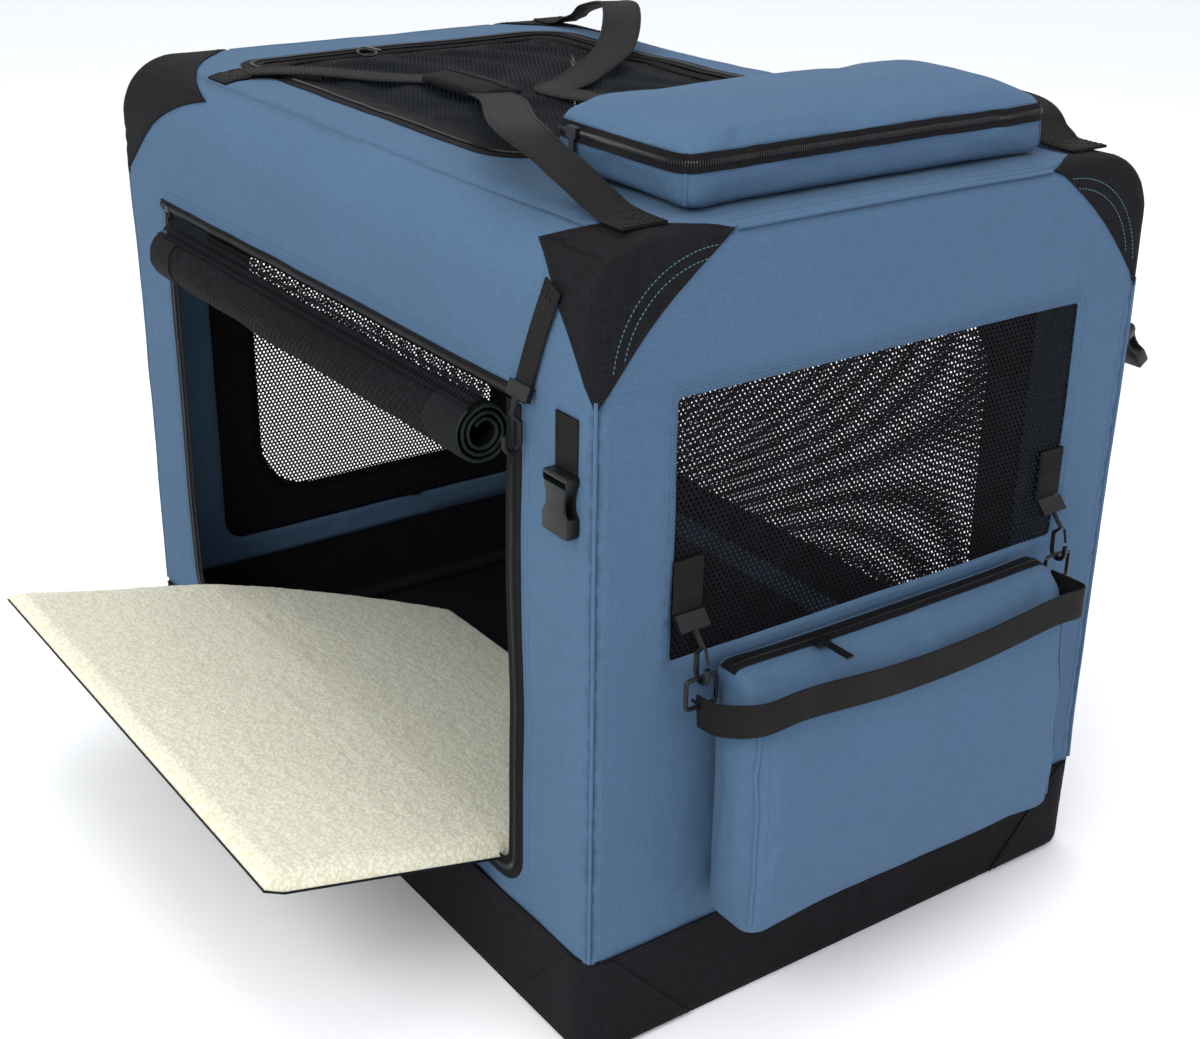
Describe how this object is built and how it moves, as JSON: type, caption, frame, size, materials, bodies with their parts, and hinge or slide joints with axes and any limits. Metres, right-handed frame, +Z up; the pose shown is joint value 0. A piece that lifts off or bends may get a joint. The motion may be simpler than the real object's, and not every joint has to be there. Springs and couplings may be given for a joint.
{
  "type": "soft folding dog crate",
  "caption": "Soft folding dog crate: blue cloth cabin on a folding steel tube frame, with mesh doors, a rolled side door, pouches and a fleece mat.",
  "frame": {"origin": "centre of the base's underside, on the ground", "axes": "+Z up, +Y along the crate's length towards the rear end, -X towards the side with the open doorway"},
  "size_m": [0.7484, 0.8378, 0.6697],
  "materials": {
    "blue_cloth": "woven polyester, matt",
    "black_cloth": "woven nylon, matt",
    "black_mesh": "open knitted mesh, matt",
    "webbing": "ribbed webbing, matt",
    "board": "cloth-covered board, matt",
    "fleece": "curly fleece pile",
    "black_plastic": "moulded, satin",
    "dark_metal": "blackened, satin",
    "steel": "plated tube"
  },
  "bodies": {
    "base": {"base_tray": "black_cloth", "floor_board": "board", "base_ring": "steel", "bracket_front_left": "steel", "bracket_front_right": "steel", "bracket_rear_left": "steel", "bracket_rear_right": "steel", "foot_patch_front_left": "black_cloth", "foot_patch_front_right": "black_cloth", "foot_patch_rear_left": "black_cloth", "foot_patch_rear_right": "black_cloth", "wall_left": "blue_cloth", "wall_right": "blue_cloth", "wall_front": "blue_cloth", "wall_rear": "blue_cloth", "window_mesh": "black_mesh", "doorway_zipper": "black_cloth", "rolled_door": "black_mesh"},
    "mat": {"fleece_mat": "fleece"},
    "side_door": {"side_door_border": "black_cloth", "side_door_mesh": "black_mesh"},
    "rear_door": {"rear_door_border": "black_cloth", "rear_door_mesh": "black_mesh"},
    "front_posts": {"post_front_left": "steel", "post_front_right": "steel"},
    "front_hoop": {"front_upper_hoop": "steel"},
    "rear_posts": {"post_rear_left": "steel", "post_rear_right": "steel"},
    "rear_hoop": {"rear_upper_hoop": "steel"},
    "roof": {"roof_rod_left": "steel", "roof_rod_right": "steel", "roof_panel": "blue_cloth", "corner_patch_front_left": "black_cloth", "corner_patch_front_right": "black_cloth", "corner_patch_rear_left": "black_cloth", "corner_patch_rear_right": "black_cloth", "top_pouch": "blue_cloth"},
    "pouch_slider": {"pouch_zipper_slider": "dark_metal"},
    "roof_door": {"roof_door_border": "black_cloth", "roof_door_mesh": "black_mesh"},
    "left_handle": {"handle_left": "webbing", "handle_grip": "webbing"},
    "right_handle": {"handle_right": "webbing"},
    "wall_fittings": {"door_strap": "webbing", "door_hook": "dark_metal"},
    "left_buckle": {"buckle_left_stub": "webbing", "buckle_left": "black_plastic"},
    "right_buckle": {"buckle_right_stub": "webbing", "buckle_right": "black_plastic"},
    "bag_hanger": {"bag_tab_left": "webbing", "bag_tab_right": "webbing", "bag_left_hook": "dark_metal", "bag_right_hook": "dark_metal"},
    "left_gate": {"bag_left_gate": "dark_metal"},
    "right_gate": {"bag_right_gate": "dark_metal"},
    "bag": {"front_bag": "blue_cloth", "bag_ring_left": "dark_metal", "bag_ring_right": "dark_metal", "bag_strap": "webbing"},
    "bag_slider": {"bag_zipper_slider": "dark_metal"}
  },
  "joints": [
    {"name": "fold", "type": "hinge", "parent": "base", "child": "front_posts", "pos_m": [0, -0.3626, 0.03], "axis": [-1, 0, 0], "range_deg": [0, 80], "deforming": ["wall_left", "wall_right", "wall_front", "wall_rear", "window_mesh", "doorway_zipper", "rolled_door", "side_door_border", "side_door_mesh", "rear_door_border", "rear_door_mesh", "corner_patch_front_left", "corner_patch_front_right", "corner_patch_rear_left", "corner_patch_rear_right", "fleece_mat"]},
    {"name": "front_elbow", "type": "hinge", "parent": "front_posts", "child": "front_hoop", "pos_m": [0, -0.3711, 0.3125], "axis": [1, 0, 0], "range_deg": [0, 160]},
    {"name": "roof_level", "type": "hinge", "parent": "front_hoop", "child": "roof", "pos_m": [0, -0.3626, 0.595], "axis": [-1, 0, 0], "range_deg": [0, 80]},
    {"name": "rear_fold", "type": "hinge", "parent": "base", "child": "rear_posts", "pos_m": [0, 0.3626, 0.03], "axis": [1, 0, 0], "range_deg": [0, 80]},
    {"name": "rear_elbow", "type": "hinge", "parent": "rear_posts", "child": "rear_hoop", "pos_m": [0, 0.3711, 0.3125], "axis": [-1, 0, 0], "range_deg": [0, 160]},
    {"name": "fittings_drop", "type": "slide", "parent": "base", "child": "wall_fittings", "axis": [0, 0, -1], "range_m": [0, 0.33]},
    {"name": "hanger_drop", "type": "slide", "parent": "base", "child": "bag_hanger", "axis": [0, 0, -1], "range_m": [0, 0.25]},
    {"name": "bag_tip", "type": "hinge", "parent": "bag_hanger", "child": "bag", "pos_m": [0, -0.401, 0.306], "axis": [-1, 0, 0], "range_deg": [0, 80]},
    {"name": "roof_door_swing", "type": "hinge", "parent": "roof", "child": "roof_door", "pos_m": [0, 0.2994, 0.607], "axis": [1, 0, 0], "range_deg": [0, 18]},
    {"name": "side_door_swing", "type": "hinge", "parent": "base", "child": "side_door", "pos_m": [0.254, 0, 0.4894], "axis": [0, -1, 0], "range_deg": [0, 110]},
    {"name": "rear_door_swing", "type": "hinge", "parent": "base", "child": "rear_door", "pos_m": [0, 0.381, 0.4894], "axis": [1, 0, 0], "range_deg": [0, 110]},
    {"name": "left_handle_lift", "type": "hinge", "parent": "roof", "child": "left_handle", "pos_m": [-0.2225, 0, 0.6121], "axis": [0, -1, 0], "range_deg": [0, 85]},
    {"name": "right_handle_lift", "type": "hinge", "parent": "roof", "child": "right_handle", "pos_m": [0.2225, 0, 0.6121], "axis": [0, 1, 0], "range_deg": [0, 85]},
    {"name": "mat_pull", "type": "slide", "parent": "base", "child": "mat", "axis": [-0.93, 0, 0.3676], "range_m": [0, 0.3]},
    {"name": "left_buckle_swing", "type": "hinge", "parent": "wall_fittings", "child": "left_buckle", "pos_m": [-0.2543, -0.352, 0.497], "axis": [0, 1, 0], "range_deg": [0, 80]},
    {"name": "right_buckle_swing", "type": "hinge", "parent": "wall_fittings", "child": "right_buckle", "pos_m": [0.2543, -0.352, 0.497], "axis": [0, -1, 0], "range_deg": [0, 45]},
    {"name": "pouch_zip", "type": "slide", "parent": "roof", "child": "pouch_slider", "axis": [0, -1, 0], "range_m": [0, 0.09]},
    {"name": "bag_zip", "type": "slide", "parent": "bag", "child": "bag_slider", "axis": [1, 0, 0], "range_m": [0, 0.2]},
    {"name": "left_gate_open", "type": "hinge", "parent": "bag_hanger", "child": "left_gate", "pos_m": [-0.177, -0.4045, 0.3262], "axis": [1, 0, 0], "range_deg": [0, 20], "stiffness_Nm_per_rad": 0.01, "springref_deg": -17.19},
    {"name": "right_gate_open", "type": "hinge", "parent": "bag_hanger", "child": "right_gate", "pos_m": [0.177, -0.4045, 0.3262], "axis": [1, 0, 0], "range_deg": [0, 20], "stiffness_Nm_per_rad": 0.01, "springref_deg": -17.19}
  ],
  "couplings": [
    {"joint": "front_elbow", "follows": "fold", "ratio": 2},
    {"joint": "roof_level", "follows": "fold", "ratio": 1},
    {"joint": "rear_fold", "follows": "fold", "ratio": 1},
    {"joint": "rear_elbow", "follows": "fold", "ratio": 2},
    {"joint": "fittings_drop", "follows": "fold", "m_per_rad": 0.2292},
    {"joint": "hanger_drop", "follows": "fold", "m_per_rad": 0.1719},
    {"joint": "bag_tip", "follows": "fold", "ratio": 1}
  ]
}
